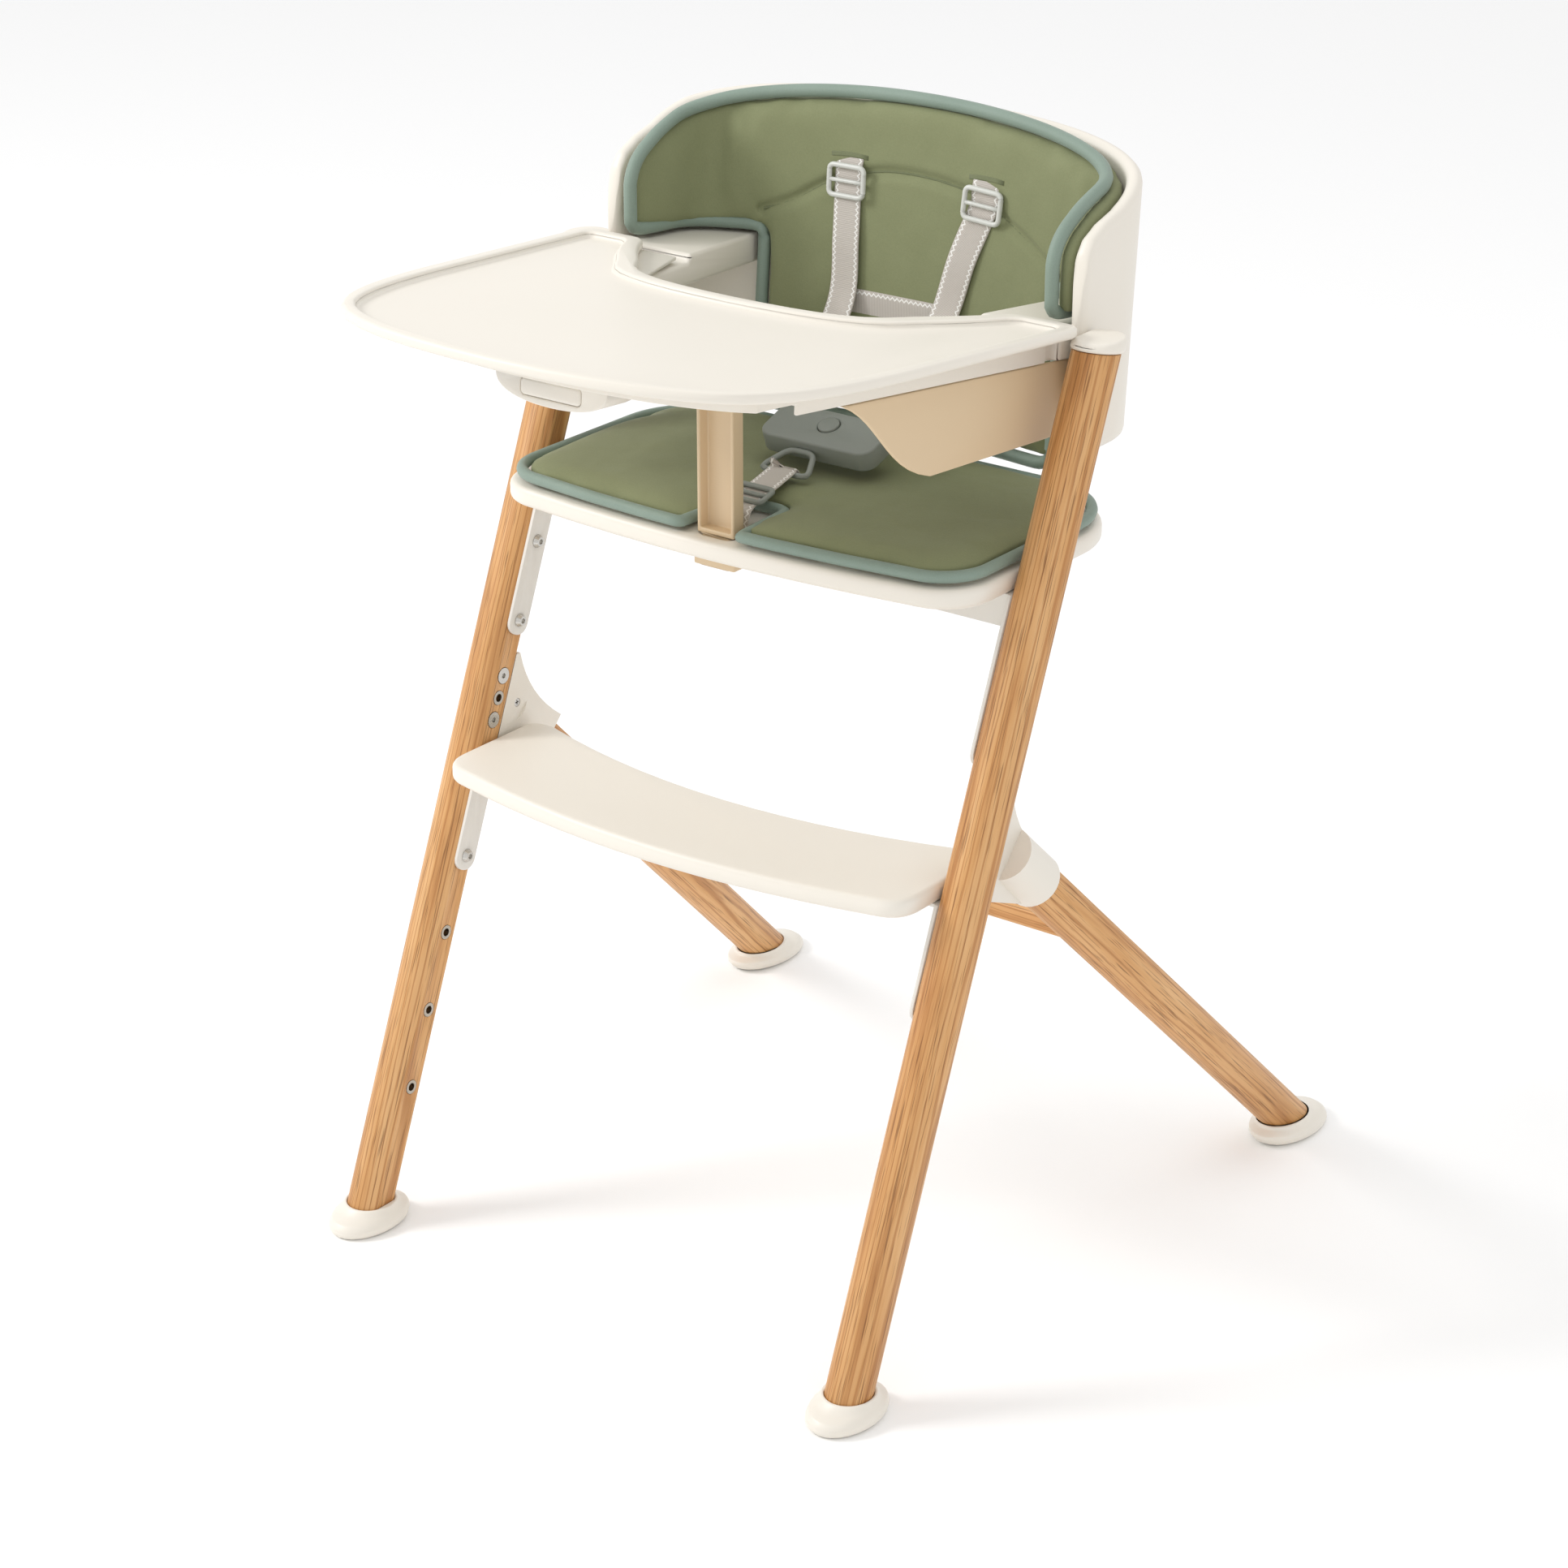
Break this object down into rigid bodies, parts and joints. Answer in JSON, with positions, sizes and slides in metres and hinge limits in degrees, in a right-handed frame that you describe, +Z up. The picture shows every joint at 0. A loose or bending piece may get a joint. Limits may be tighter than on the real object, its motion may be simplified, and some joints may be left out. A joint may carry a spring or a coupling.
{
  "type": "baby high chair",
  "caption": "High chair with leaning wooden legs, height-adjustable seat and footrest, back shell with armrests, sliding tray with lift-off cover, cushions and harness.",
  "frame": {"origin": "on the floor, under the middle of the whole chair", "axes": "+Z up, the seated child faces -Y, +X is on the right of someone who faces +Y"},
  "size_m": [0.606, 0.716, 0.8679],
  "materials": {
    "oak": "clear matt lacquer over straight grain",
    "white_plastic": "satin",
    "cream_plastic": "satin",
    "enamelled_steel": "smooth off-white powder coat",
    "stainless_steel": "turned, lightly polished",
    "insert_metal": "plated, dull",
    "sage_fabric": "fine coated cloth with piped edges",
    "webbing": "woven, with a zigzag stitched edge",
    "grey_plastic": "matt",
    "pale_grey_plastic": "satin"
  },
  "bodies": {
    "chair": {"front_leg_left": "oak", "insert_left_1": "insert_metal", "insert_left_2": "insert_metal", "insert_left_3": "insert_metal", "insert_left_6": "insert_metal", "connector_bolt_left_1": "stainless_steel", "connector_bolt_left_2": "stainless_steel", "front_leg_right": "oak", "insert_right_1": "insert_metal", "insert_right_2": "insert_metal", "insert_right_3": "insert_metal", "insert_right_6": "insert_metal", "connector_bolt_right_1": "stainless_steel", "connector_bolt_right_2": "stainless_steel", "front_foot_left": "white_plastic", "rear_foot_left": "white_plastic", "front_foot_right": "white_plastic", "rear_foot_right": "white_plastic", "leg_cap_left": "white_plastic", "leg_cap_right": "white_plastic", "rear_leg_left": "oak", "leg_connector_left": "white_plastic", "connector_screw_left": "stainless_steel", "rear_leg_right": "oak", "leg_connector_right": "white_plastic", "connector_screw_right": "stainless_steel", "rear_stretcher": "oak", "seat_plate": "white_plastic", "seat_bracket": "enamelled_steel", "seat_bolt_left_1": "stainless_steel", "seat_bolt_left_2": "stainless_steel", "seat_bolt_right_1": "stainless_steel", "seat_bolt_right_2": "stainless_steel", "back_shell": "white_plastic", "crotch_post": "cream_plastic", "post_clip": "cream_plastic", "seat_cushion": "sage_fabric", "back_cushion": "sage_fabric", "shoulder_strap_left": "webbing", "strap_adjuster_left": "pale_grey_plastic", "shoulder_strap_right": "webbing", "strap_adjuster_right": "pale_grey_plastic", "buckle_body": "grey_plastic", "crotch_loop": "grey_plastic", "waist_strap": "webbing", "crotch_strap": "webbing", "footrest_plate": "white_plastic", "footrest_bracket": "enamelled_steel", "footrest_bolt_left_1": "stainless_steel", "footrest_bolt_left_2": "stainless_steel", "footrest_bolt_right_1": "stainless_steel", "footrest_bolt_right_2": "stainless_steel", "armrest_left": "white_plastic", "side_panel_left": "cream_plastic", "armrest_right": "white_plastic", "side_panel_right": "cream_plastic"},
    "tray": {"tray_base": "white_plastic"},
    "tray_cover": {"tray_cover": "white_plastic"},
    "release_button": {"tray_release_button": "white_plastic"},
    "buckle_button": {"buckle_button": "grey_plastic"}
  },
  "joints": [
    {"name": "tray_slide", "type": "slide", "parent": "chair", "child": "tray", "axis": [0, -0.9976, 0.0698], "range_m": [0, 0.08]},
    {"name": "tray_cover_lift", "type": "slide", "parent": "tray", "child": "tray_cover", "axis": [0, 0.0698, 0.9976], "range_m": [0, 0.1]},
    {"name": "release_press", "type": "slide", "parent": "tray", "child": "release_button", "axis": [0, 0.9976, -0.0698], "range_m": [0, 0.004], "stiffness_N_per_m": 600, "springref_m": -0.002},
    {"name": "buckle_press", "type": "slide", "parent": "chair", "child": "buckle_button", "axis": [0, 0.3429, -0.9394], "range_m": [0, 0.0015], "stiffness_N_per_m": 800, "springref_m": -0.001}
  ]
}
